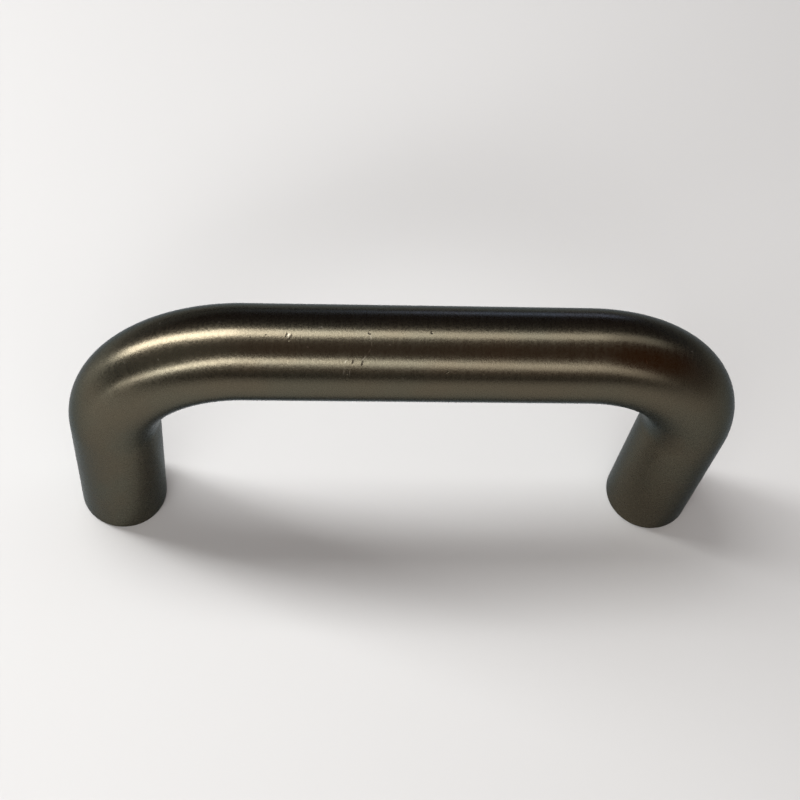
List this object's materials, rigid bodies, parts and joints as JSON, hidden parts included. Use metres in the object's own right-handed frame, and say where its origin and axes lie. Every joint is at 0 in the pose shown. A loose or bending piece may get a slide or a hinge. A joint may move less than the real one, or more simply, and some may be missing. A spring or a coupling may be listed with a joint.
{
  "type": "bridge pull handle",
  "caption": "Bridge pull handle bent from solid round metal rod, with straight legs and flat feet tapped for screws from behind a drawer front or cabinet door.",
  "frame": {"origin": "on the mounting plane, midway between the centres of the feet", "axes": "+X along the grip, +Y across the rod, +Z away from the drawer front, from the feet to the grip"},
  "size_m": [0.074, 0.01, 0.037],
  "materials": {
    "brushed_metal": "satin, warm pewter tint, brushed around the rod, with a few light scratches and nicks"
  },
  "bodies": {
    "root": {"pull_handle": "brushed_metal"}
  },
  "joints": []
}
